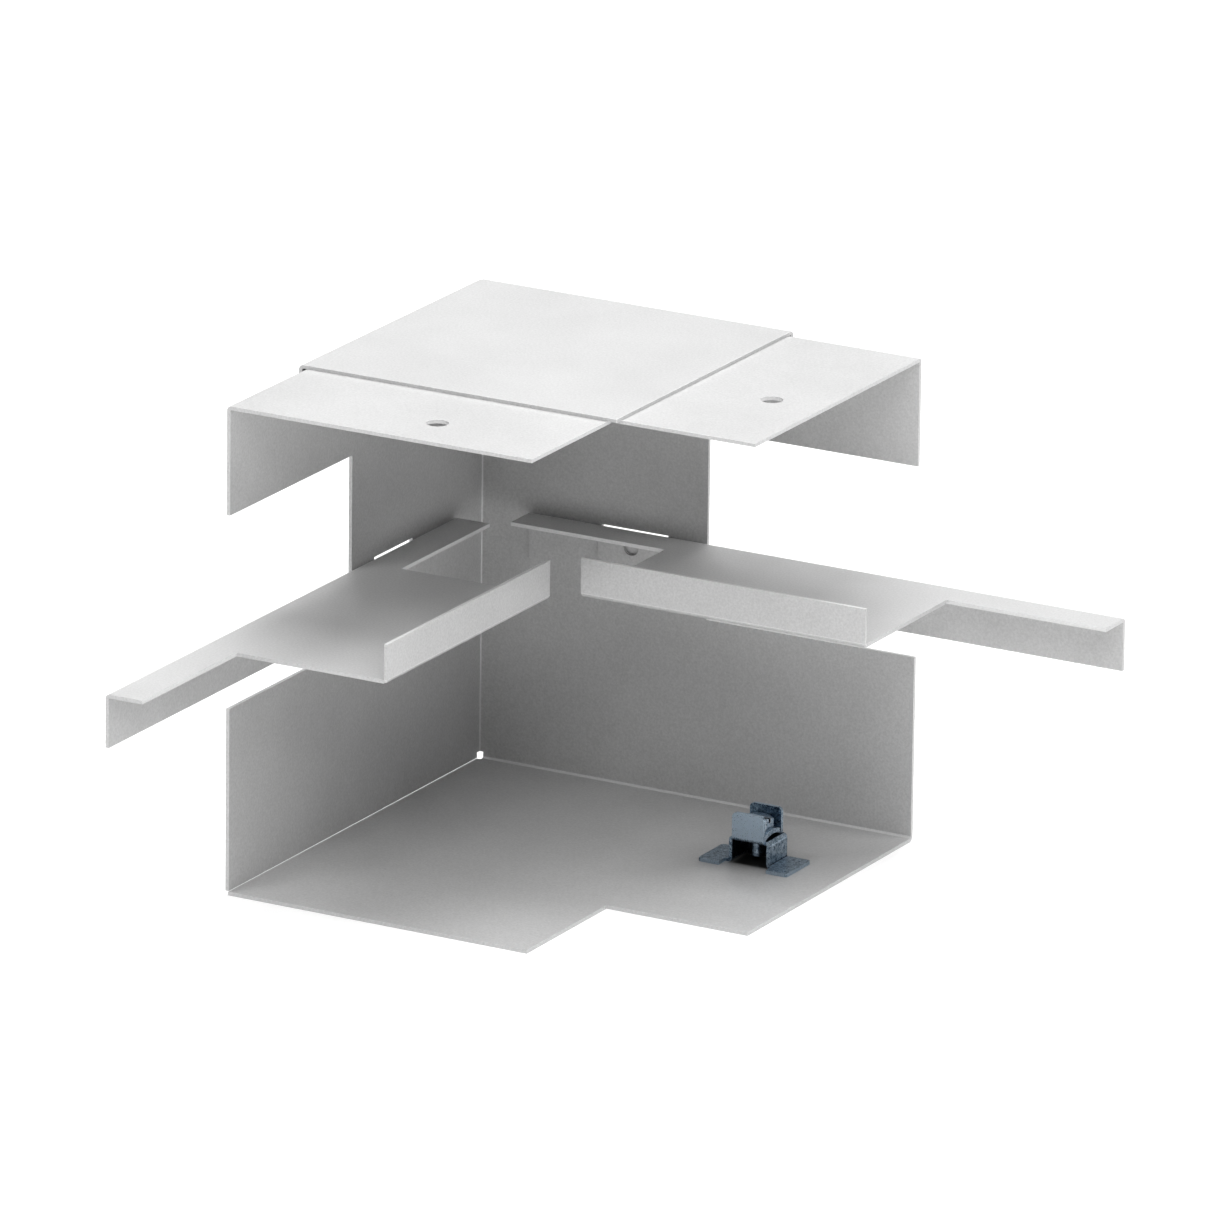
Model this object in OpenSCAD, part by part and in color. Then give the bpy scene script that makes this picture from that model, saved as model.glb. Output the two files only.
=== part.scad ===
// Internal corner piece of two-compartment sheet-steel wall trunking, 68 deep and 100 high.
// It stands in the corner of a room: one arm runs along +X, the other along -Y.
// The origin is the outer back corner at the underside, and +Z is up. Millimetres.
// "Depth" is measured from an arm's wall into the room, "along" from the back corner.

/* [Sheet] */
// Thickness of the sheet
sheet = 0.75; // [0.6:0.05:1]
// Inside radius of the folds that carry wings and flanges
fold_r = 0.15; // [0.1:0.05:0.4]
// Inside radius of the upright bend between the two walls
corner_r = 0.3; // [0.2:0.05:0.9]
// Inside radius of the fold between base and right wall
base_r = 0.5; // [0.2:0.05:0.9]

/* [Arms] */
// Length of each arm from the back corner
arm_l = 99.35; // [97:0.05:180]
// Depth of the trunking
depth = 67.9; // [60:0.1:90]
// Height of the trunking
height = 100; // [90:0.5:150]
// Length of wall that keeps its full height
tall_l = 52.4; // [50:0.1:70]
// Height of the wall below the side opening
low_h = 38.4; // [20:0.1:50]
// Height of the flange above the side opening
top_flange_h = 22.2; // [10:0.1:30]
// Diameter of the fixing hole in each wing
wing_hole_d = 4.5; // [3:0.1:8]
// Distance of that hole from the arm's end
wing_hole_from_end = 11.35; // [8:0.05:21]
// Depth of that hole from the wall
wing_hole_depth = 40.5; // [20:0.5:55]
// Gap of the mitre between the two wings
mitre_gap = 0.6; // [0.2:0.1:2]

/* [Corner reliefs] */
// Relief cut into the right wall and base at the bottom corner
relief_right = 1.55; // [1.4:0.05:4]
// Relief cut into the left wall and base at the bottom corner
relief_left = 1.75; // [1.4:0.05:4]
// Height of that relief
relief_h = 2; // [1.6:0.1:5]
// Side of the relief at the top corner, under the cap
top_relief = 2.4; // [2:0.1:5]
// Gap between the left wall's foot and the base
seam_gap = 0.15; // [0.1:0.05:0.8]
// Distance of the base's left edge from the left wall's outer face
seam_edge = 0.6; // [0.2:0.05:1]

/* [Lanced tabs] */
// Width of the window that each tab is cut from
tab_w = 15; // [8:0.5:20]
// Middle of the tab along the arm
tab_along = 36; // [26:0.5:38]
// Inside radius of the joggle's bends
jog_r = 0.3; // [0.2:0.05:0.5]
// Angle of the joggle's bends
jog_angle = 60; // [50:1:70]
// Sheared gap at each side of the tab
shear_gap = 0.1; // [0.05:0.05:0.4]
// Diameter of the hole in the tab
tab_hole_d = 3.5; // [2:0.1:4.4]
// Distance of that hole below the tab's top edge
tab_hole_drop = 2.4; // [2.3:0.1:6]

/* [Shelves] */
// Height of the shelves' top face above the underside
shelf_top = 54.44; // [50:0.1:62]
// Gap between wall and shelf flange
shelf_gap = 0.11; // [0.05:0.01:0.5]
// Gap between shelf flange and tab
pocket_gap = 0.15; // [0.15:0.01:0.5]
// Height of the flange that hangs behind the tab
shelf_flange_h = 10.84; // [8:0.1:14]
// Depth of the narrow strip along the wall
strip_depth = 9.08; // [6:0.1:12]
// Clear distance between the two strips at the corner
strip_apart = 3.1; // [1:0.1:6]
// Depth of the shelf's plate
plate_depth = 42.85; // [20:0.1:60]
// Clear distance between the two plates at the corner
plate_apart = 4.45; // [1:0.1:8]
// Length of the plate
plate_l = 63.35; // [30:0.1:90]
// Length of the tongue that reaches into the next trunking
tongue_l = 35.25; // [10:0.1:60]
// Height of the front lip above the shelf
lip_h = 7.25; // [3:0.1:15]
// Radius of the lower corners at the lip's ends
lip_r = 0.75; // [0.2:0.05:2]

/* [Cap] */
// Reach of the cap from the walls
cap_reach = 70; // [68:0.1:90]
// Gap between the walls and the cap's back flanges
cap_gap = 0.5; // [0.1:0.05:1]
// Height of the cap's back flanges
cap_flange_h = 15; // [6:0.5:20]
// Inside radius of the cap's folds
cap_r = 0.45; // [0.2:0.05:0.9]

/* [Clamp bracket] */
// Distance of the clamp's screw from the right arm's end
clamp_from_end = 19.35; // [14.5:0.05:35]
// Depth of the clamp's screw from the wall
clamp_depth = 28.9; // [16:0.1:50]
// Thickness of the bracket's sheet
clamp_sheet = 0.75; // [0.6:0.05:1]
// Inside radius of the bracket's bends
clamp_r = 0.15; // [0.1:0.05:0.4]
// Width over the bracket's legs
legs_w = 9.2; // [8.6:0.1:12]
// Height of the bridge's top face above the base
bridge_h = 5.5; // [4:0.1:8]
// Reach of the bridge and the legs in front of the screw
legs_front = 3.25; // [3.15:0.05:3.9]
// Reach of the bridge and the legs behind the screw
legs_back = 3.9; // [3.3:0.05:3.95]
// Gap round the two flanges that close the bridge's back
flange_gap = 0.1; // [0.05:0.05:0.3]
// Width over the two feet
feet_w = 19.9; // [16:0.1:26]
// Reach of each foot in front of its leg
foot_front = 2.85; // [1:0.05:4]
// Slot between leg and foot in front
foot_slot = 0.7; // [0.4:0.1:1]
// Corner radius of the feet
foot_r = 0.6; // [0.2:0.1:1]
// Distance over the two upright ears
ears_l = 8; // [8:0.1:10]
// Width of each ear
ears_w = 7.1; // [5:0.1:7.1]
// Height of the ears above the bridge
ears_h = 5.25; // [3:0.05:8]
// Corner radius of the ears
ears_r = 1; // [0.3:0.1:2]
// Relief beside the ears' bends, both sides together
ear_relief = 0.1; // [0.05:0.05:0.4]

/* [Clamp saddle and screw] */
// Width of the saddle between the bracket's legs
saddle_w = 7; // [6:0.1:8]
// Gap between saddle and ears
saddle_gap = 0.1; // [0.05:0.05:0.4]
// Thickness of the saddle
saddle_t = 0.95; // [0.6:0.05:1.5]
// Rise of the saddle's arch
saddle_rise = 0.8; // [0.2:0.05:1]
// Diameter of the clamp screw
screw_d = 3; // [2.5:0.1:4]
// Radial gap round the screw in the saddle
screw_loose = 0.2; // [0.1:0.05:0.4]
// Radial gap round the screw in the bridge
screw_fit = 0.05; // [0.02:0.01:0.1]
// Width across the flats of the screw's head
head_af = 5.5; // [5:0.1:6]
// Height of the screw's head
head_h = 2; // [1.2:0.1:3]
// Width of the driver slot
slot_w = 0.8; // [0.5:0.1:1.2]
// Depth of the driver slot
slot_d = 0.9; // [0.4:0.1:1]
// Clearance between the screw's tip and the base
tip_clear = 1.1; // [0.5:0.1:2]

/* [Hidden] */
$fn = 48;

// Cutters run past what they cut by this much
past = 1;
// Outer radii of the bends
fold_out = fold_r + sheet;
corner_out = corner_r + sheet;
base_out = base_r + sheet;
cap_out = cap_r + sheet;
clamp_out = clamp_r + clamp_sheet;
// Shelf places that follow from the gaps
shelf_back = sheet + shelf_gap;
strip_start = strip_depth + strip_apart;
plate_start = plate_depth + plate_apart;
plate_end = plate_start + plate_l;
tongue_end = plate_end + tongue_l;
// The tab's back face clears the shelf's flange and fold, and its top edge carries the strip
tab_back = shelf_back + sheet + max(pocket_gap, fold_r);
tab_top = shelf_top - sheet;
// The joggle: two equal bends with a straight stretch between them
jog_mid = jog_r + sheet / 2;
jog_straight = (tab_back - 2 * jog_mid * (1 - cos(jog_angle))) / sin(jog_angle);
jog_rise = 2 * jog_mid * sin(jog_angle) + jog_straight * cos(jog_angle);
jog_top = shelf_top - shelf_flange_h - pocket_gap;
jog_root = jog_top - jog_rise;
jog_steps = 8;
// Cap: distance of its outer faces behind the walls, and the start of its flat
cap_behind = cap_gap + sheet;
cap_flat = cap_out - cap_behind;
// Places of the wing's hole and of the clamp, measured from the back corner
wing_hole_along = arm_l - wing_hole_from_end;
clamp_along = arm_l - clamp_from_end;
// The saddle clears the ears and their bends, and its arch spans that length
saddle_l = ears_l - 2 * (clamp_sheet + max(saddle_gap, clamp_r));
saddle_in = (pow(saddle_l / 2, 2) + pow(saddle_rise, 2)) / (2 * saddle_rise);
head_seat = bridge_h + saddle_rise + saddle_t;
head_round = 0.475 * head_af;

// Sheet bent between two angles, drawn about the bend's centre
module bend(inner, from, to, thick = sheet) {
    far = 3 * (inner + thick);
    middle = (from + to) / 2;
    intersection() {
        difference() {
            circle(inner + thick);
            circle(inner);
        }
        polygon([
            [0, 0],
            far * [cos(from), sin(from)],
            far * [cos(middle), sin(middle)],
            far * [cos(to), sin(to)]
        ]);
    }
}

// Runs a section, drawn as depth and height, along the right arm
module along_arm(from, to) {
    translate([from, 0, 0])
        rotate([90, 0, 90])
            linear_extrude(to - from)
                mirror([1, 0])
                    children();
}

// Turns what is drawn on the right arm into its image on the left arm
module on_left_arm() {
    mirror([1, 1, 0])
        children();
}

// Both halves of a symmetric section
module both_ways() {
    children();
    mirror([1, 0])
        children();
}

// Wall with its wing, and with the base folded from its foot on the arm that has one
module arm_section(has_base) {
    foot = has_base ? base_out : sheet + seam_gap;
    translate([0, foot])
        square([sheet, height - fold_out - foot]);
    translate([fold_out, height - fold_out])
        bend(fold_r, 90, 180);
    translate([fold_out, height - sheet])
        square([depth - fold_out, sheet]);
    if (has_base) {
        translate([base_out, base_out])
            bend(base_r, 180, 270);
        translate([base_out, 0])
            square([depth - base_out, sheet]);
    }
}

// Everything that is punched out of one arm
module arm_cuts() {
    translate([tall_l, -sheet - past, low_h])
        cube([arm_l - tall_l + past, sheet + 2 * past, height - top_flange_h - low_h]);
    translate([tab_along - tab_w / 2, -sheet - past, jog_root])
        cube([tab_w, sheet + 2 * past, shelf_top - jog_root]);
    translate([wing_hole_along, -wing_hole_depth, height - sheet - past])
        cylinder(h = sheet + 2 * past, d = wing_hole_d);
    translate([0, 0, height - top_relief])
        linear_extrude(top_relief + past)
            polygon([
                [-past, past],
                [mitre_gap - past, past],
                [mitre_gap + depth + past, -depth - past],
                [-past, -depth - past]
            ]);
}

// Points along an arc, in equal steps
function arc(centre, radius, from, to) = [
    for (step = [0:jog_steps])
        let (angle = from + (to - from) * step / jog_steps)
            centre + radius * [cos(angle), sin(angle)]
];

// Tab lanced out of the wall: it joggles forward and stands up in front of the shelf's flange
module tab_section() {
    low = [sheet + jog_r, jog_root];
    high = [tab_back - jog_r, jog_top];
    polygon(concat(
        [[0, jog_root - sheet]],
        arc(low, jog_r + sheet, 180, 180 - jog_angle),
        arc(high, jog_r, -jog_angle, 0),
        [[tab_back, tab_top], [tab_back + sheet, tab_top]],
        arc(high, jog_r + sheet, 0, -jog_angle),
        arc(low, jog_r, 180 - jog_angle, 180),
        [[sheet, jog_root - sheet]]
    ));
}

module tab() {
    difference() {
        along_arm(tab_along - tab_w / 2 + shear_gap, tab_along + tab_w / 2 - shear_gap)
            tab_section();
        translate([tab_along, -tab_back + past, tab_top - tab_hole_drop])
            rotate([90, 0, 0])
                cylinder(h = sheet + 2 * past, d = tab_hole_d);
    }
}

module arm(has_base) {
    difference() {
        along_arm(corner_out, arm_l)
            arm_section(has_base);
        arm_cuts();
    }
    tab();
}

// Base under both arms, folded up into the right wall and butted against the left one
module base() {
    linear_extrude(sheet)
        polygon([
            [seam_edge, -arm_l],
            [depth, -arm_l],
            [depth, -depth],
            [arm_l, -depth],
            [arm_l, -base_out],
            [seam_edge, -base_out]
        ]);
}

module corner_reliefs() {
    translate([-past, -relief_left, -past])
        cube([relief_right + past, relief_left + past, relief_h + past]);
    translate([-past, -top_relief, height - top_relief])
        cube([top_relief + past, top_relief + past, top_relief + past]);
}

// One folded blank: base, both walls with their wings, and the lanced tabs
module body() {
    color("whitesmoke")
        difference() {
            union() {
                base();
                arm(true);
                on_left_arm()
                    arm(false);
                translate([corner_out, -corner_out, sheet + seam_gap])
                    linear_extrude(height - fold_out - sheet - seam_gap)
                        bend(corner_r, 90, 180);
            }
            corner_reliefs();
        }
}

// Back flange and strip, the section along the whole shelf
module strip_section() {
    translate([shelf_back, shelf_top - shelf_flange_h])
        square([sheet, shelf_flange_h - fold_out]);
    translate([shelf_back + fold_out, shelf_top - fold_out])
        bend(fold_r, 90, 180);
    translate([shelf_back + fold_out, shelf_top - sheet])
        square([strip_depth - shelf_back - fold_out, sheet]);
}

// Plate with its front lip, the section of the wide stretch
module plate_section() {
    translate([strip_depth - sheet, shelf_top - sheet])
        square([plate_depth - fold_out - strip_depth + sheet, sheet]);
    translate([plate_depth - fold_out, shelf_top - sheet + fold_out])
        bend(fold_r, 270, 360);
    translate([plate_depth - sheet, shelf_top - sheet + fold_out])
        square([sheet, lip_h + sheet - fold_out]);
}

// What the rounded lower corners leave over at the ends of the front lip
module lip_corners() {
    translate([(plate_start + plate_end) / 2, sheet - plate_depth, shelf_top - sheet])
        rotate([90, 0, 0])
            linear_extrude(sheet + past)
                both_ways()
                    translate([plate_l / 2 - lip_r, 0])
                        difference() {
                            translate([0, -past])
                                square(lip_r + past);
                            translate([0, lip_r])
                                circle(lip_r);
                        }
}

module shelf() {
    color("white")
        difference() {
            union() {
                along_arm(strip_start, tongue_end)
                    strip_section();
                along_arm(plate_start, plate_end)
                    plate_section();
            }
            lip_corners();
        }
}

module right_shelf() {
    shelf();
}

module left_shelf() {
    on_left_arm()
        shelf();
}

// Half of the cap: its plate and the back flange of the right side
module cap_section() {
    translate([-cap_behind, height + sheet - cap_flange_h])
        square([sheet, cap_flange_h - cap_out]);
    translate([cap_flat, height + sheet - cap_out])
        bend(cap_r, 90, 180);
    translate([cap_flat, height])
        square([cap_reach - cap_flat, sheet]);
}

// Square cap over the mitre, with a flange behind each wall and an open seam between them
module cap() {
    color("white")
        union() {
            along_arm(cap_flat, cap_reach)
                cap_section();
            on_left_arm()
                along_arm(cap_flat, cap_reach)
                    cap_section();
        }
}

// Places what is drawn about the clamp screw's axis on the base
module at_clamp() {
    translate([clamp_along, -clamp_depth, sheet])
        children();
}

// Runs a section, drawn as width and height, from front to back
module front_to_back(from, to) {
    translate([0, to, 0])
        rotate([90, 0, 0])
            linear_extrude(to - from)
                children();
}

// Runs a section, drawn as depth and height, across the clamp
module across(width) {
    translate([-width / 2, 0, 0])
        rotate([90, 0, 90])
            linear_extrude(width)
                children();
}

// One half of the top-hat section: bridge, leg and foot
module hat_half() {
    translate([0, bridge_h - clamp_sheet])
        square([legs_w / 2 - clamp_out, clamp_sheet]);
    translate([legs_w / 2 - clamp_out, bridge_h - clamp_out])
        bend(clamp_r, 0, 90, clamp_sheet);
    translate([legs_w / 2 - clamp_sheet, clamp_out])
        square([clamp_sheet, bridge_h - 2 * clamp_out]);
    translate([legs_w / 2 + clamp_r, clamp_out])
        bend(clamp_r, 180, 270, clamp_sheet);
    translate([legs_w / 2 + clamp_r, 0])
        square([(feet_w - legs_w) / 2 - clamp_r, clamp_sheet]);
}

// One half of the channel between the ears
module ear_half() {
    translate([0, bridge_h - clamp_sheet])
        square([ears_l / 2 - clamp_out, clamp_sheet]);
    translate([ears_l / 2 - clamp_out, bridge_h + clamp_r])
        bend(clamp_r, 270, 360, clamp_sheet);
    translate([ears_l / 2 - clamp_sheet, bridge_h + clamp_r])
        square([clamp_sheet, ears_h - clamp_r]);
}

// Rectangle with rounded corners, its middle at the origin
module rounded(size, radius) {
    square([size.x - 2 * radius, size.y], center = true);
    square([size.x, size.y - 2 * radius], center = true);
    for (x = [-1, 1], y = [-1, 1])
        translate([x * (size.x / 2 - radius), y * (size.y / 2 - radius)])
            circle(radius);
}

// Plan of the feet, with their rounded corners and the slots beside the legs
module feet_plan() {
    front = legs_front + foot_front;
    difference() {
        translate([0, (legs_back - front) / 2])
            rounded([feet_w, front + legs_back], foot_r);
        translate([-legs_w / 2 - foot_slot, -front - past])
            square([legs_w + 2 * foot_slot, foot_front + past]);
        square([legs_w + 2 * clamp_r, 2 * (front + past)], center = true);
    }
}

module bracket_hat() {
    difference() {
        front_to_back(-legs_front, legs_back)
            both_ways()
                hat_half();
        for (side = [-1, 1])
            translate([0, side * (ears_l - clamp_out), bridge_h])
                cube([ears_w + ear_relief, ears_l, 2 * clamp_out], center = true);
        outer_corners();
    }
}

// What the feet's rounded corners leave over of the hat section's straight ends
module outer_corners() {
    translate([0, 0, -past])
        linear_extrude(clamp_sheet + 2 * past)
            difference() {
                square([feet_w + 2 * past, 2 * (legs_back + foot_front + past)], center = true);
                feet_plan();
                square([legs_w + 2 * clamp_r + 2 * foot_slot, 2 * (legs_back + past)], center = true);
            }
}

// Flanges turned in from the legs' back edges, which close the space under the bridge
module back_flanges() {
    front_to_back(legs_back - clamp_sheet, legs_back)
        both_ways()
            translate([flange_gap / 2, flange_gap])
                square([
                    legs_w / 2 - (clamp_sheet + flange_gap) / 2,
                    bridge_h - clamp_sheet - 2 * flange_gap
                ]);
}

module bracket_ears() {
    intersection() {
        across(ears_w)
            both_ways()
                ear_half();
        front_to_back(-ears_l, ears_l)
            translate([0, bridge_h + ears_h / 2 - clamp_sheet])
                rounded([ears_w, ears_h + 2 * clamp_sheet], ears_r);
    }
}

// Bracket of the earth clamp: a top-hat strip on two feet, closed behind, with an ear up at each end
module clamp_bracket() {
    color("slategray")
        at_clamp()
            difference() {
                union() {
                    bracket_hat();
                    back_flanges();
                    linear_extrude(clamp_sheet)
                        feet_plan();
                    bracket_ears();
                }
                cylinder(h = bridge_h + past, r = screw_d / 2 + screw_fit);
            }
}

// Saddle, arched from ear to ear, that grips the wire under the screw's head
module clamp_saddle() {
    color("lightslategray")
        at_clamp()
            difference() {
                across(saddle_w)
                    intersection() {
                        translate([0, bridge_h + saddle_rise - saddle_in])
                            difference() {
                                circle(saddle_in + saddle_t, $fn = 96);
                                circle(saddle_in, $fn = 96);
                            }
                        translate([-saddle_l / 2, bridge_h])
                            square([saddle_l, saddle_rise + saddle_t]);
                    }
                cylinder(h = head_seat + past, r = screw_d / 2 + screw_loose);
            }
}

// Slotted hexagon-head screw
module clamp_screw() {
    color("slategray")
        at_clamp() {
            difference() {
                translate([0, 0, head_seat])
                    intersection() {
                        rotate(30)
                            cylinder(h = head_h, d = head_af / cos(30), $fn = 6);
                        cylinder(h = head_h, r1 = head_round + head_h * tan(60), r2 = head_round);
                    }
                translate([-head_af, -slot_w / 2, head_seat + head_h - slot_d])
                    cube([2 * head_af, slot_w, slot_d + past]);
            }
            translate([0, 0, tip_clear])
                cylinder(h = head_seat - tip_clear, d = screw_d);
        }
}

body();
cap();
left_shelf();
right_shelf();
clamp_bracket();
clamp_saddle();
clamp_screw();
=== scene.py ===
"""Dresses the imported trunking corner: powder-coated folded sheets and a dark zinc earth clamp."""

import logging
import math
from dataclasses import dataclass
from enum import Enum, IntEnum
from typing import Any, Callable, Sequence

import bmesh
import bpy
from mathutils import Matrix, Vector


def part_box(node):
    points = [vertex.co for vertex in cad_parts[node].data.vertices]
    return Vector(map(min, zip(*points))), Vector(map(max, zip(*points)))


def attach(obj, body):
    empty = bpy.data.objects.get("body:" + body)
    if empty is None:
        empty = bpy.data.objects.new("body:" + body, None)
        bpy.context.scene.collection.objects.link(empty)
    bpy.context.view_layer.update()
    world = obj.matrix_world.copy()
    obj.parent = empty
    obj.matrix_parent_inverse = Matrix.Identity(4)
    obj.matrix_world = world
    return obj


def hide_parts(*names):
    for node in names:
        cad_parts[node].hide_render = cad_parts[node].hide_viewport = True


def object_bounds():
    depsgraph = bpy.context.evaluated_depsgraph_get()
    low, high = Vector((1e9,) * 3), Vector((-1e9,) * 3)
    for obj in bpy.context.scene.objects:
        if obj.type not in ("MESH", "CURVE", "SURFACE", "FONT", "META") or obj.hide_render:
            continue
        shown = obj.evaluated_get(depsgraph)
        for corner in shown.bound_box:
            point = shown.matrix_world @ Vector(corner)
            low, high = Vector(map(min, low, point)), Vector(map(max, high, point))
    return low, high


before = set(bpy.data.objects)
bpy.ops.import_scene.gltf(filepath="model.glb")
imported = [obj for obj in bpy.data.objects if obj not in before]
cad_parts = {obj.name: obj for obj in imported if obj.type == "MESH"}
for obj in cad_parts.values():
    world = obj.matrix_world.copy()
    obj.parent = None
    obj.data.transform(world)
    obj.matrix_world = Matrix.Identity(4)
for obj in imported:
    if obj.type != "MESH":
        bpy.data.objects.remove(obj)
CAD_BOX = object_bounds()

LOG = logging.getLogger("trunking_corner")
MM = 0.001
BODY = "root"
WHITE = (1.0, 1.0, 1.0, 1.0)
NOISE_MIDDLE = 0.5

# Numbers of a Mix node's sockets: its factor, its two colours in and its colour out.
MIX_FACTOR, MIX_FIRST, MIX_SECOND, MIX_RESULT = 0, 6, 7, 2


class Slot(Enum):
    """Names of the material slots."""

    PAINT = "white_paint"
    ZINC = "dark_zinc"


class Signal:
    """A shader socket that can stand in a Python expression."""

    def __init__(self, graph: "Graph", socket: bpy.types.NodeSocket) -> None:
        """Keeps the socket with the graph that it belongs to."""
        self.graph = graph
        self.socket = socket

    def _math(self, operation: str, first: Any, second: Any) -> "Signal":
        """Adds one Math node.

        Args:
            operation: Name of the Math node's operation.
            first: Left side, a signal or a number.
            second: Right side, a signal or a number.

        Returns:
            The node's result.
        """
        return self.graph.add("ShaderNodeMath", {"operation": operation}, {0: first, 1: second})

    def __add__(self, other: Any) -> "Signal":
        """Sum."""
        return self._math("ADD", self, other)

    def __radd__(self, other: Any) -> "Signal":
        """Sum with a number on the left."""
        return self._math("ADD", other, self)

    def __sub__(self, other: Any) -> "Signal":
        """Difference."""
        return self._math("SUBTRACT", self, other)

    def __rsub__(self, other: Any) -> "Signal":
        """Difference from a number on the left."""
        return self._math("SUBTRACT", other, self)

    def __mul__(self, other: Any) -> "Signal":
        """Product."""
        return self._math("MULTIPLY", self, other)

    def __rmul__(self, other: Any) -> "Signal":
        """Product with a number on the left."""
        return self._math("MULTIPLY", other, self)

    def larger(self, other: Any) -> "Signal":
        """The larger of the two."""
        return self._math("MAXIMUM", self, other)


@dataclass(frozen=True)
class Noise:
    """Size of a noise's features in metres, its finer octaves and their share."""

    size: float
    detail: float = 2.0
    roughness: float = 0.5


class Graph:
    """Node tree of one material, from its coordinates to its surface."""

    def __init__(self, name: str) -> None:
        """Starts an empty material.

        Args:
            name: Name of the material.
        """
        self.material = bpy.data.materials.new(name)
        self.material.use_nodes = True
        self.tree = self.material.node_tree
        self.tree.nodes.clear()

    def add(
        self,
        kind: str,
        settings: dict[str, Any] | None = None,
        inputs: dict[str | int, Any] | None = None,
        output: str | int = 0,
    ) -> Signal:
        """Adds a node, its settings first and its sockets after.

        Args:
            kind: Type of the node.
            settings: Attributes of the node; "stops" holds a ramp's places and colours.
            inputs: Values or signals for its sockets, by name or number.
            output: The socket that is returned.

        Returns:
            The node's output as a signal.
        """
        node = self.tree.nodes.new(kind)
        for name, value in (settings or {}).items():
            if name == "stops":
                self._set_stops(node.color_ramp, value)
            else:
                setattr(node, name, value)
        for name, value in (inputs or {}).items():
            if isinstance(value, Signal):
                self.tree.links.new(value.socket, node.inputs[name])
            else:
                node.inputs[name].default_value = value
        return Signal(self, node.outputs[output])

    @staticmethod
    def _set_stops(ramp: bpy.types.ColorRamp, stops: list[tuple[float, tuple]]) -> None:
        """Writes a ramp's stops.

        Args:
            ramp: The ramp to fill.
            stops: Place and colour of each stop, in order.
        """
        while len(ramp.elements) < len(stops):
            ramp.elements.new(1.0)
        for element, (place, colour) in zip(ramp.elements, stops):
            element.position = place
            element.color = (*colour, 1.0)

    def coordinates(self) -> Signal:
        """Object coordinates, in metres."""
        return self.add("ShaderNodeTexCoord", output="Object")

    def parts(self, vector: Signal) -> tuple[Signal, ...]:
        """Splits a vector into its X, Y and Z."""
        first = self.add("ShaderNodeSeparateXYZ", None, {0: vector})
        return tuple(Signal(self, socket) for socket in first.socket.node.outputs)

    def vector(self, operation: str, *values: Any) -> Signal:
        """Adds one Vector Math node.

        Args:
            operation: Name of the node's operation.
            values: Signals or vectors for its sockets, in order.

        Returns:
            The node's result.
        """
        return self.add("ShaderNodeVectorMath", {"operation": operation}, dict(enumerate(values)))

    def product(self, first: Signal, second: Signal) -> Signal:
        """Multiplies two colours in a Mix node."""
        settings = {"data_type": "RGBA", "blend_type": "MULTIPLY"}
        inputs = {MIX_FACTOR: 1.0, MIX_FIRST: first, MIX_SECOND: second}
        return self.add("ShaderNodeMix", settings, inputs, MIX_RESULT)

    def noise(self, where: Signal, noise: Noise) -> Signal:
        """Adds a noise.

        Args:
            where: Coordinates in metres.
            noise: Size and octaves of the noise.

        Returns:
            The noise, from 0 to 1.
        """
        inputs = {
            "Vector": where,
            "Scale": 1.0 / noise.size,
            "Detail": noise.detail,
            "Roughness": noise.roughness,
        }
        return self.add("ShaderNodeTexNoise", None, inputs, "Fac")

    def ramp(self, value: Signal, stops: list[tuple[float, tuple]]) -> Signal:
        """Turns a value into a colour by a ramp."""
        return self.add("ShaderNodeValToRGB", {"stops": stops}, {"Fac": value}, "Color")

    def bump(self, height: Signal, depth: float, strength: float) -> Signal:
        """Turns a height into a bumped normal.

        Args:
            height: Height from 0 to 1.
            depth: Depth in metres that a height of 1 stands for.
            strength: Strength of the bump.

        Returns:
            The normal.
        """
        inputs = {"Height": height, "Distance": depth, "Strength": strength}
        return self.add("ShaderNodeBump", None, inputs, "Normal")

    def finish(self, surface: dict[str | int, Any]) -> bpy.types.Material:
        """Ends the tree in a Principled surface.

        Args:
            surface: Values or signals for the Principled sockets.

        Returns:
            The finished material.
        """
        shader = self.add("ShaderNodeBsdfPrincipled", None, surface, "BSDF")
        end = self.tree.nodes.new("ShaderNodeOutputMaterial")
        self.tree.links.new(shader.socket, end.inputs["Surface"])
        return self.material


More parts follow.
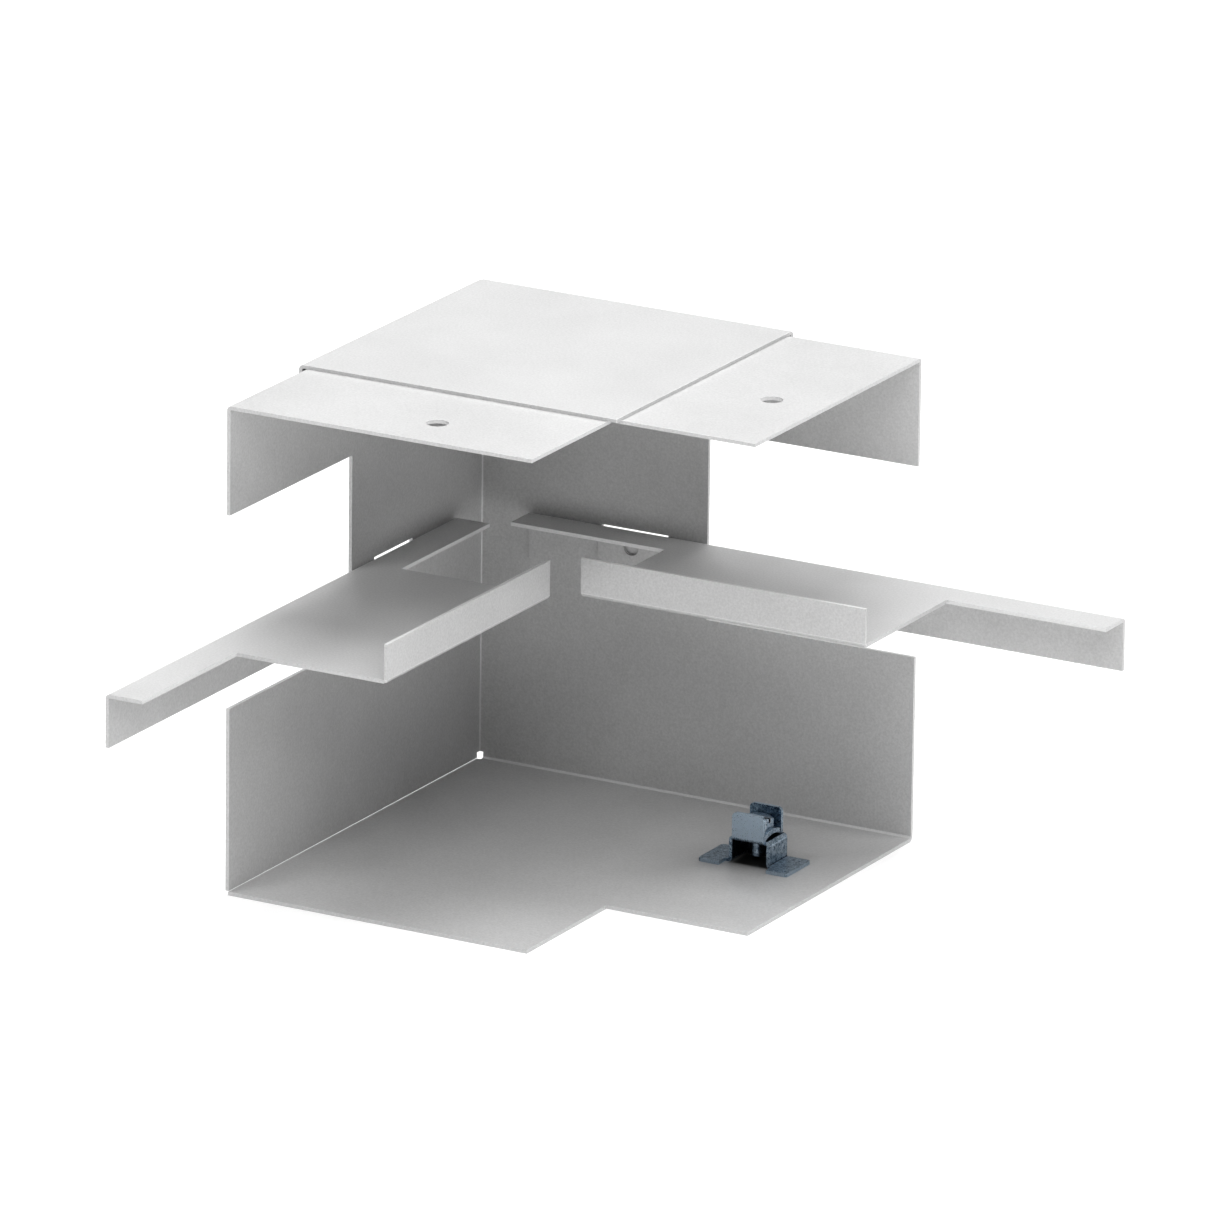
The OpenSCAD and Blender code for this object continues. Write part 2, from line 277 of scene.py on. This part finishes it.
@dataclass(frozen=True)
class PowderCoat:
    """Fine-grained satin powder coat, with painted shade under and round the earth clamp.

    The painted shade spreads from a box at the clamp's foot, given by its centre and half its size.
    Each shade step is a distance from that box and the share of the colour that is left there.
    """

    name: str = "white_powder_coat"
    dark: tuple[float, float, float] = (0.44, 0.44, 0.44)
    light: tuple[float, float, float] = (0.6, 0.6, 0.6)
    dark_below: float = 0.3
    light_above: float = 0.7
    grain: Noise = Noise(0.45 * MM, 3.0, 0.6)
    peel: Noise = Noise(1.6 * MM)
    cloud: Noise = Noise(22 * MM, 3.0, 0.55)
    grain_in_colour: float = 0.75
    grain_in_height: float = 0.6
    depth: float = 0.02 * MM
    strength: float = 0.5
    roughness: float = 0.32
    uneven: float = 0.16
    specular: float = 0.9
    # Painted shade: the colour is darkened under and round the earth clamp, less with distance from a
    # box at its foot.
    clamp_shade_centre: tuple[float, float, float] = (80 * MM, -28.7 * MM, 0.75 * MM)
    clamp_shade_half: tuple[float, float, float] = (3.9 * MM, 3.5 * MM, 1 * MM)
    clamp_shade_from: float = -1 * MM
    clamp_shade_to: float = 20 * MM
    clamp_shade_steps: tuple[tuple[float, float], ...] = (
        (-0.4 * MM, 0.02),
        (0.3 * MM, 0.28),
        (0.9 * MM, 0.48),
        (2.5 * MM, 0.59),
        (4.5 * MM, 0.69),
        (6.5 * MM, 0.79),
        (10 * MM, 0.86),
        (20 * MM, 1.0),
    )

    def build(self) -> bpy.types.Material:
        """Makes the material: grain and orange peel in colour, roughness and bump, and painted shade
        round the clamp.

        Returns:
            The finished material.
        """
        graph = Graph(self.name)
        where = graph.coordinates()
        grain = graph.noise(where, self.grain)
        peel = graph.noise(where, self.peel)
        cloud = graph.noise(where, self.cloud)
        tone = grain * self.grain_in_colour + cloud * (1 - self.grain_in_colour)
        colour = graph.ramp(tone, [(self.dark_below, self.dark), (self.light_above, self.light)])
        # Painted shade under and round the clamp, multiplied into the colour.
        clamp_shade = self._clamp_shade(graph, where)
        height = grain * self.grain_in_height + peel * (1 - self.grain_in_height)
        return graph.finish(
            {
                "Base Color": graph.product(colour, clamp_shade),
                "Roughness": self.roughness + (grain - NOISE_MIDDLE) * self.uneven,
                "Specular IOR Level": self.specular,
                "Normal": graph.bump(height, self.depth, self.strength),
            }
        )

    def _clamp_shade(self, graph: Graph, where: Signal) -> Signal:
        """Paints shade on the coat under and round the earth clamp, by the distance from a box at the
        clamp's foot.

        Args:
            graph: The material's tree.
            where: Coordinates in metres.

        Returns:
            The share of the colour that is left, as a grey.
        """
        away = graph.vector("SUBTRACT", where, self.clamp_shade_centre)
        folded = graph.vector("ABSOLUTE", away)
        past = graph.vector("SUBTRACT", folded, self.clamp_shade_half)
        across, along, above = graph.parts(past)
        distance = across.larger(along).larger(above)
        reach = self.clamp_shade_to - self.clamp_shade_from
        steps = [((place - self.clamp_shade_from) / reach, (left,) * 3) for place, left in self.clamp_shade_steps]
        return graph.ramp((distance - self.clamp_shade_from) * (1 / reach), steps)


@dataclass(frozen=True)
class DarkZinc:
    """Dark blue-grey passivated zinc with a mottled bloom."""

    name: str = "dark_zinc"
    deep: tuple[float, float, float] = (0.07, 0.11, 0.16)
    middle: tuple[float, float, float] = (0.27, 0.355, 0.44)
    pale: tuple[float, float, float] = (0.49, 0.59, 0.69)
    places: tuple[float, float, float] = (0.39, 0.5, 0.62)
    mottle: Noise = Noise(0.8 * MM, 4.0, 0.62)
    spangle: Noise = Noise(0.25 * MM)
    mottle_share: float = 0.55
    depth: float = 0.008 * MM
    strength: float = 0.2
    roughness: float = 0.2
    uneven: float = 0.2
    metallic: float = 0.95

    def build(self) -> bpy.types.Material:
        """Makes the material: mottled colour, uneven roughness and a fine pitted bump.

        Returns:
            The finished material.
        """
        graph = Graph(self.name)
        where = graph.coordinates()
        mottle = graph.noise(where, self.mottle)
        spangle = graph.noise(where, self.spangle)
        tone = mottle * self.mottle_share + spangle * (1 - self.mottle_share)
        colour = graph.ramp(tone, list(zip(self.places, (self.deep, self.middle, self.pale))))
        return graph.finish(
            {
                "Base Color": colour,
                "Metallic": self.metallic,
                "Roughness": self.roughness + spangle * self.uneven,
                "Normal": graph.bump(tone, self.depth, self.strength),
            }
        )


@dataclass(frozen=True)
class PaleFloor:
    """Matt white studio floor, lit a little from below as a light table is."""

    name: str = "studio_floor"
    colour: tuple[float, float, float] = (0.6, 0.6, 0.6)
    roughness: float = 0.9
    glow: float = 0.46

    def build(self) -> bpy.types.Material:
        """Makes the material.

        Returns:
            The finished material.
        """
        graph = Graph(self.name)
        return graph.finish(
            {
                "Base Color": (*self.colour, 1.0),
                "Roughness": self.roughness,
                "Emission Color": WHITE,
                "Emission Strength": self.glow,
            }
        )


class Coat(IntEnum):
    """Places of a piece's finishes in its list of materials."""

    FACE = 0
    # Paler rims and bends: painted highlight; on the zinc also wear.
    EDGE_HIGHLIGHT = 1
    # Near-black zinc: painted shade inside the clamp, in its bends, under the saddle and in the slot.
    SHADE = 2
    # Brighter, even zinc: painted light on the front ear's outer face and the clamp's sheared faces.
    EVEN_LIT = 3
    # Darker zinc: painted shade on the ears' inner faces.
    EAR_SHADE = 4


@dataclass
class Finishes:
    """The materials of the scene, each built once."""

    paint: list[bpy.types.Material]
    zinc: list[bpy.types.Material]
    floor: bpy.types.Material

    @classmethod
    def build(cls) -> "Finishes":
        """Builds every material, in the order of the coats where a piece has several.

        Returns:
            The finished materials.
        """
        # Paler paint for rims and bends' hollows: a painted highlight.
        edge_highlight_paint = PowderCoat("edge_highlight_powder_coat", (0.64, 0.64, 0.64), (0.76, 0.76, 0.76))
        # Paler zinc for the clamp's rims: wear and a painted highlight.
        worn_highlight = DarkZinc("worn_highlight_zinc", (0.42, 0.47, 0.53), (0.56, 0.62, 0.68), (0.68, 0.73, 0.78))
        # Near-black zinc: painted shade.
        shaded = DarkZinc("shaded_zinc", (0.01, 0.014, 0.02), (0.025, 0.035, 0.05), (0.06, 0.08, 0.11))
        # Brighter zinc without mottle: painted light.
        even_lit = DarkZinc(
            "even_lit_zinc", (0.4, 0.495, 0.595), (0.42, 0.52, 0.62), (0.44, 0.545, 0.645), depth=0.001 * MM
        )
        # Darker zinc: painted shade between the ears.
        ear_shade = DarkZinc("painted_ear_shade_zinc", (0.03, 0.05, 0.08), (0.1, 0.16, 0.225), (0.25, 0.34, 0.43))
        return cls(
            [PowderCoat().build(), edge_highlight_paint.build()],
            [DarkZinc().build(), worn_highlight.build(), shaded.build(), even_lit.build(), ear_shade.build()],
            PaleFloor().build(),
        )


def placed(name: str, data: Any, coats: Sequence[bpy.types.Material] = ()) -> bpy.types.Object:
    """Puts a new object into the scene.

    Args:
        name: Name of the object.
        data: Its mesh, light or camera.
        coats: Finishes of a mesh, in the order of the coats.

    Returns:
        The new object, at the origin.
    """
    for coat in coats:
        data.materials.append(coat)
    item = bpy.data.objects.new(name, data)
    bpy.context.scene.collection.objects.link(item)
    return item


def install(piece: bpy.types.Object, node: str) -> None:
    """Lets a piece ride on the part, in the place of a CAD node, and logs it.

    Args:
        piece: The finished piece.
        node: Name of the CAD node.
    """
    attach(piece, BODY)
    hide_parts(node)
    LOG.info("made %s", piece.name)


@dataclass
class SoftEdges:
    """Copies a CAD node and rounds its sharp edges, which take the paler edge coat, a painted highlight.

    A face is flat where its normal lies along an axis, and a sheared edge where it is also no wider than
    the sheet's thickness. Any other face is a bend's hollow where it turns inwards along a long side.
    """

    width: float
    # Coat of the bends' hollows: painted highlight on the sheets, painted shade on the clamp.
    bends: Coat = Coat.EDGE_HIGHLIGHT
    sheared: Coat = Coat.FACE
    thickness: float = 0.8 * MM
    bend_length: float = 2.5 * MM
    segments: int = 2
    sharp: float = math.radians(35)
    merge: float = 1e-6
    flat: float = math.radians(0.6)
    hollow: float = -0.02
    square: float = 0.995

    def copy(
        self, node: str, name: str, coats: list[bpy.types.Material], above: float | None = None
    ) -> bpy.types.Object:
        """Makes the rounded copy of a node.

        Args:
            node: Name of the CAD node.
            name: Name of the new piece.
            coats: Finishes of the piece, in the order of the coats.
            above: Height below which nothing is kept, where only the top is wanted.

        Returns:
            The new piece, a plain mesh at the origin.
        """
        shape = bmesh.new()
        shape.from_mesh(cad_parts[node].data)
        bmesh.ops.remove_doubles(shape, verts=shape.verts, dist=self.merge)
        bmesh.ops.dissolve_limit(
            shape, angle_limit=self.flat, verts=shape.verts, edges=shape.edges, delimit=set()
        )
        if above is not None:
            spare = [v for v in shape.verts if v.co.z < above - self.merge]
            bmesh.ops.delete(shape, geom=spare, context="VERTS")
            rim = [edge for edge in shape.edges if edge.is_boundary]
            bmesh.ops.holes_fill(shape, edges=rim, sides=0)
        shape.normal_update()
        for face in shape.faces:
            face.material_index = self._coat(face)
        mesh = bpy.data.meshes.new(name)
        shape.to_mesh(mesh)
        shape.free()
        for face in mesh.polygons:
            face.use_smooth = False
        piece = placed(name, mesh, coats)
        bevel = piece.modifiers.new("rounding", "BEVEL")
        bevel.width = self.width
        bevel.segments = self.segments
        bevel.limit_method = "ANGLE"
        bevel.angle_limit = self.sharp
        # The rounded rims take the edge coat: painted highlight on the sheets, wear and painted
        # highlight on the zinc.
        bevel.material = Coat.EDGE_HIGHLIGHT
        bevel.use_clamp_overlap = True
        return self.applied(piece)

    def _coat(self, face: bmesh.types.BMFace) -> Coat:
        """Names the coat of a face: a bend's hollow, a sheared edge of the sheet or a plain face.

        Args:
            face: A face of the copied solid.

        Returns:
            The face's coat.
        """
        length = max(edge.calc_length() for edge in face.edges)
        if max(abs(part) for part in face.normal) > self.square:
            return self.sheared if face.calc_area() < self.thickness * length else Coat.FACE
        inner = [edge for edge in face.edges if len(edge.link_faces) == 2]
        hollow = any(edge.calc_face_angle_signed() < self.hollow for edge in inner)
        return self.bends if hollow and length > self.bend_length else Coat.FACE

    @staticmethod
    def applied(piece: bpy.types.Object) -> bpy.types.Object:
        """Turns a piece with modifiers into a plain mesh.

        Args:
            piece: The piece.

        Returns:
            The same piece, without its modifiers.
        """
        depsgraph = bpy.context.evaluated_depsgraph_get()
        result = bpy.data.meshes.new_from_object(piece.evaluated_get(depsgraph))
        piece.modifiers.clear()
        piece.data = result
        return piece


@dataclass
class FoldedSheets:
    """The painted body, cap and shelves, their sheared edges rounded by the coating; rims, bends'
    hollows and the shelves' sheared edges take a paler coat as a painted highlight.
    """

    edge: float = 0.13 * MM
    # The shelves' sheared edges take the edge coat, a painted highlight.
    nodes: tuple[tuple[str, Coat], ...] = (
        ("body", Coat.FACE),
        ("cap", Coat.FACE),
        ("left_shelf", Coat.EDGE_HIGHLIGHT),
        ("right_shelf", Coat.EDGE_HIGHLIGHT),
    )

    def build(self, finishes: Finishes) -> None:
        """Makes the rounded sheets and puts them in their nodes' places.

        Args:
            finishes: The scene's materials.
        """
        for node, sheared in self.nodes:
            rounding = SoftEdges(self.edge, sheared=sheared)
            install(rounding.copy(node, f"{node}_painted", finishes.paint), node)


@dataclass(frozen=True)
class Thread:
    """Metric screw thread, swept along a spiral by Geometry Nodes."""

    crest: float = 1.5 * MM
    root: float = 1.3 * MM
    pitch: float = 0.5 * MM
    steps: int = 28
    flanks: int = 4

    def build(
        self, name: str, foot: Vector, height: float, material: bpy.types.Material
    ) -> bpy.types.Object:
        """Makes the thread's ridge, with its axis upright.

        Args:
            name: Name of the piece.
            foot: Lower end of the axis.
            height: Length of the thread.
            material: Finish of the ridge.

        Returns:
            The ridge as a plain mesh.
        """
        tree = bpy.data.node_groups.new(name, "GeometryNodeTree")
        tree.interface.new_socket("Geometry", in_out="OUTPUT", socket_type="NodeSocketGeometry")
        height_in = tree.interface.new_socket("Height", in_out="INPUT", socket_type="NodeSocketFloat")
        entry = tree.nodes.new("NodeGroupInput")
        spiral = tree.nodes.new("GeometryNodeCurveSpiral")
        spiral.inputs["Resolution"].default_value = self.steps
        spiral.inputs["Rotations"].default_value = height / self.pitch
        spiral.inputs["Start Radius"].default_value = self.root
        spiral.inputs["End Radius"].default_value = self.root
        tree.links.new(entry.outputs["Height"], spiral.inputs["Height"])
        upright = tree.nodes.new("GeometryNodeSetCurveNormal")
        upright.mode = "Z_UP"
        tree.links.new(spiral.outputs["Curve"], upright.inputs["Curve"])
        diamond = tree.nodes.new("GeometryNodeCurvePrimitiveCircle")
        diamond.inputs["Resolution"].default_value = self.flanks
        diamond.inputs["Radius"].default_value = self.crest - self.root
        sweep = tree.nodes.new("GeometryNodeCurveToMesh")
        sweep.inputs["Fill Caps"].default_value = True
        tree.links.new(upright.outputs["Curve"], sweep.inputs["Curve"])
        tree.links.new(diamond.outputs["Curve"], sweep.inputs["Profile Curve"])
        realize = tree.nodes.new("GeometryNodeRealizeInstances")
        tree.links.new(sweep.outputs["Mesh"], realize.inputs["Geometry"])
        paint = tree.nodes.new("GeometryNodeSetMaterial")
        paint.inputs["Material"].default_value = material
        tree.links.new(realize.outputs["Geometry"], paint.inputs["Geometry"])
        end = tree.nodes.new("NodeGroupOutput")
        tree.links.new(paint.outputs["Geometry"], end.inputs["Geometry"])
        piece = placed(name, bpy.data.meshes.new(name))
        sweeper = piece.modifiers.new("thread", "NODES")
        sweeper.node_group = tree
        sweeper[height_in.identifier] = height
        ridge = SoftEdges.applied(piece)
        ridge.data.transform(Matrix.Translation(foot))
        return ridge


@dataclass
class ClampScrew:
    """The clamp's slotted hexagon-head screw: crisp head, plain point and thread."""

    node: str = "clamp_screw"
    edge: float = 0.06 * MM
    head: float = 2.0 * MM
    slot_reach: float = 1.1 * MM
    slot_depth: float = 0.9 * MM
    point: float = 1.05 * MM
    point_length: float = 3.7 * MM
    chamfer: float = 0.2 * MM
    overlap: float = 0.2 * MM
    sides: int = 32

    def build(self, finishes: Finishes) -> bpy.types.Object:
        """Makes the screw as one piece.

        Args:
            finishes: The scene's materials.

        Returns:
            The screw, a plain mesh at the origin.
        """
        low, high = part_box(self.node)
        seat = high[2] - self.head
        axis = Vector(((low[0] + high[0]) / 2, (low[1] + high[1]) / 2, low[2]))
        head = SoftEdges(self.edge, Coat.SHADE).copy(
            self.node, f"{self.node}_zinc", finishes.zinc, above=seat
        )
        # Painted shade in the screw's slot.
        recoat(head, Coat.SHADE, lambda centre, normal: self._in_slot(centre - axis, high[2] - centre.z))
        thread = Thread()
        core = self._core(axis, seat, thread.root, finishes.zinc)
        foot = axis + Vector((0, 0, self.point_length + thread.pitch / 2))
        ridge = thread.build("clamp_thread", foot, seat - foot.z, finishes.zinc[Coat.FACE])
        return joined([head, core, ridge])

    def _in_slot(self, place: Vector, depth: float) -> bool:
        """Says whether a face is in the slot, from its place off the axis and its depth."""
        return place.xy.length < self.slot_reach and self.edge < depth < self.slot_depth

    def _core(
        self, foot: Vector, seat: float, radius: float, coats: list[bpy.types.Material]
    ) -> bpy.types.Object:
        """Makes the plain point and the core inside the thread.

        Args:
            foot: The point's centre.
            seat: Height of the head's underside.
            radius: Radius at the thread's root.
            coats: Finishes of the core.

        Returns:
            The core, a plain mesh at the origin.
        """
        step = foot.z + self.point_length
        rings = [
            (self.point - self.chamfer, foot.z),
            (self.point, foot.z + self.chamfer),
            (self.point, step),
            (radius, step + self.chamfer),
            (radius, seat + self.overlap),
        ]
        shape = bmesh.new()
        loops = []
        for reach, height in rings:
            angles = [2 * math.pi * k / self.sides for k in range(self.sides)]
            ring = [(foot.x + reach * math.cos(a), foot.y + reach * math.sin(a)) for a in angles]
            loops.append([shape.verts.new((x, y, height)) for x, y in ring])
        for lower, upper in zip(loops, loops[1:]):
            for k in range(self.sides):
                after = (k + 1) % self.sides
                shape.faces.new((lower[k], lower[after], upper[after], upper[k]))
        shape.faces.new(list(reversed(loops[0])))
        shape.faces.new(loops[-1])
        mesh = bpy.data.meshes.new("clamp_core")
        shape.to_mesh(mesh)
        shape.free()
        return placed("clamp_core", mesh, coats)


def recoat(piece: bpy.types.Object, coat: Coat, chosen: Callable[[Vector, Vector], bool]) -> None:
    """Gives another coat to the faces that a test names.

    Args:
        piece: The piece, a plain mesh at the origin.
        coat: The coat that they take.
        chosen: Test of a face's centre and normal.
    """
    for face in piece.data.polygons:
        if chosen(face.center, face.normal):
            face.material_index = coat


def joined(pieces: list[bpy.types.Object]) -> bpy.types.Object:
    """Joins plain meshes of one finish into the first of them.

    Args:
        pieces: The meshes, all at the origin.

    Returns:
        The first piece, which now holds them all.
    """
    first, *others = pieces
    shape = bmesh.new()
    for piece in pieces:
        shape.from_mesh(piece.data)
    shape.to_mesh(first.data)
    shape.free()
    for piece in others:
        bpy.data.objects.remove(piece)
    return first


class EarSide(IntEnum):
    """Sides of an ear, as the sign of their normals away from the clamp's middle."""

    INNER = -1
    OUTER = 1


@dataclass
class EarthClamp:
    """The clamp's bracket, saddle and slotted screw."""

    edge: float = 0.1 * MM
    tunnel_half: float = 3.87 * MM
    tunnel_top: float = 5.52 * MM
    bridge_top: float = 6.25 * MM
    straight: float = 0.9
    turned_back: float = 0.5
    turned_down: float = -0.3

    def build(self, finishes: Finishes) -> None:
        """Makes the rounded pieces and puts them in their nodes' places.

        Args:
            finishes: The scene's materials.
        """
        # Bends' hollows take painted shade; sheared faces take the brighter even zinc, a painted light.
        rounding = SoftEdges(self.edge, Coat.SHADE, Coat.EVEN_LIT)
        low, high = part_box("clamp_bracket")
        middle = Vector([(a + b) / 2 for a, b in zip(low, high)])
        bracket = rounding.copy("clamp_bracket", "clamp_bracket_zinc", finishes.zinc)
        # Painted shade in the tunnel under the bridge and on the bridge's top under the saddle.
        recoat(bracket, Coat.SHADE, lambda centre, normal: self._in_tunnel(centre, middle, normal))
        recoat(bracket, Coat.SHADE, lambda centre, normal: self._on_bridge(centre, normal))
        # Painted shade on the ears' inner faces, painted light on their outer faces.
        for coat, side in ((Coat.EAR_SHADE, EarSide.INNER), (Coat.EVEN_LIT, EarSide.OUTER)):
            recoat(bracket, coat, lambda centre, normal: self._ear(centre, middle, normal, side))
        install(bracket, "clamp_bracket")
        saddle = rounding.copy("clamp_saddle", "clamp_saddle_zinc", finishes.zinc)
        # Painted shade on the saddle's underside.
        recoat(saddle, Coat.SHADE, lambda centre, normal: normal.z < self.turned_down)
        install(saddle, "clamp_saddle")
        screw = ClampScrew()
        install(screw.build(finishes), screw.node)

    def _in_tunnel(self, centre: Vector, middle: Vector, normal: Vector) -> bool:
        """Says whether a face is under the bridge and between the legs."""
        inside = abs(centre.x - middle.x) < self.tunnel_half and centre.z < self.tunnel_top
        return inside and normal.y < self.turned_back

    def _on_bridge(self, centre: Vector, normal: Vector) -> bool:
        """Says whether a face is the bridge's top, under the saddle."""
        return normal.z > self.straight and abs(centre.z - self.bridge_top) < self.edge / 2

    def _ear(self, centre: Vector, middle: Vector, normal: Vector, side: EarSide) -> bool:
        """Says whether a face is the named side of an ear."""
        upright = abs(normal.y) > self.straight and centre.z > self.bridge_top
        return upright and (centre.y - middle.y) * normal.y * side > 0


@dataclass(frozen=True)
class Softbox:
    """A square studio light aimed at the part."""

    name: str
    azimuth: float
    elevation: float
    watts: float
    side: float = 1.2
    distance: float = 2.0

    def build(self, aim: Vector) -> None:
        """Adds the light.

        Args:
            aim: The point that it faces.
        """
        light = bpy.data.lights.new(self.name, "AREA")
        light.shape = "SQUARE"
        light.size = self.side
        light.energy = self.watts
        lamp = placed(self.name, light)
        turn, lift = math.radians(self.azimuth), math.radians(self.elevation)
        flat = math.cos(lift)
        away = Vector((math.sin(turn) * flat, -math.cos(turn) * flat, math.sin(lift)))
        lamp.location = aim + away * self.distance
        lamp.rotation_euler = away.to_track_quat("Z", "Y").to_euler()
        lamp.visible_camera = False


@dataclass(frozen=True)
class PhotoCamera:
    """Camera at the photograph's viewing angle, from a fit of the part's own edges."""

    azimuth: float = 29.155
    elevation: float = 17.634
    roll: float = 0.690
    distance: float = 2.79923
    aim_right: float = 0.025609
    aim_up: float = 0.030965
    lens: float = 411.64
    sensor: float = 36
    near: float = 0.1
    far: float = 50

    def build(self) -> None:
        """Adds the camera and makes it the scene's."""
        turn, lift, roll = (math.radians(a) for a in (self.azimuth, self.elevation, self.roll))
        right = Vector((math.cos(turn), math.sin(turn), 0))
        flat = math.cos(lift)
        ahead = Vector((-math.sin(turn) * flat, math.cos(turn) * flat, -math.sin(lift)))
        up = right.cross(ahead)
        place = right * self.aim_right + up * self.aim_up - ahead * self.distance
        across = right * math.cos(roll) + up * math.sin(roll)
        upright = up * math.cos(roll) - right * math.sin(roll)
        data = bpy.data.cameras.new("photo_camera")
        data.lens = self.lens
        data.sensor_width = self.sensor
        data.clip_start = self.near
        data.clip_end = self.far
        camera = placed("photo_camera", data)
        axes = Matrix((across, upright, -ahead)).transposed()
        camera.matrix_world = Matrix.Translation(place) @ axes.to_4x4()
        bpy.context.scene.camera = camera


@dataclass(frozen=True)
class Studio:
    """Pale floor, white surroundings and soft lights."""

    floor_side: float = 24.0
    sky: float = 0.04
    lights: tuple[Softbox, ...] = (
        Softbox("top_light", 0, 88, 31),
        Softbox("front_light", 30, 45, 16),
        Softbox("left_light", -40, 46, 8, 0.8),
        Softbox("right_light", 100, 50, 8.5),
        Softbox("low_right_light", 120, 25, 8),
        Softbox("back_light", 200, 50, 24),
    )

    def build(self, finishes: Finishes) -> None:
        """Adds floor, surroundings, lights and camera.

        Args:
            finishes: The scene's materials.
        """
        low, high = CAD_BOX
        centre = (low + high) / 2
        self._floor(finishes.floor, low.z)
        world = bpy.data.worlds.new("studio")
        world.use_nodes = True
        background = world.node_tree.nodes["Background"]
        background.inputs["Color"].default_value = WHITE
        background.inputs["Strength"].default_value = self.sky
        bpy.context.scene.world = world
        for light in self.lights:
            light.build(centre)
        PhotoCamera().build()
        bpy.context.scene.view_settings.view_transform = "Standard"

    def _floor(self, material: bpy.types.Material, height: float) -> None:
        """Lays the floor.

        Args:
            material: Its finish.
            height: Its height.
        """
        half = self.floor_side / 2
        corners = [(-half, -half), (half, -half), (half, half), (-half, half)]
        mesh = bpy.data.meshes.new("floor")
        mesh.from_pydata([(x, y, height) for x, y in corners], [], [(0, 1, 2, 3)])
        floor = placed("floor", mesh, [material])


def main() -> None:
    """Builds the finishes, the pieces and the studio."""
    logging.basicConfig(level=logging.INFO, format="%(name)s: %(message)s")
    finishes = Finishes.build()
    FoldedSheets().build(finishes)
    EarthClamp().build(finishes)
    Studio().build(finishes)


if __name__ == "__main__":
    main()
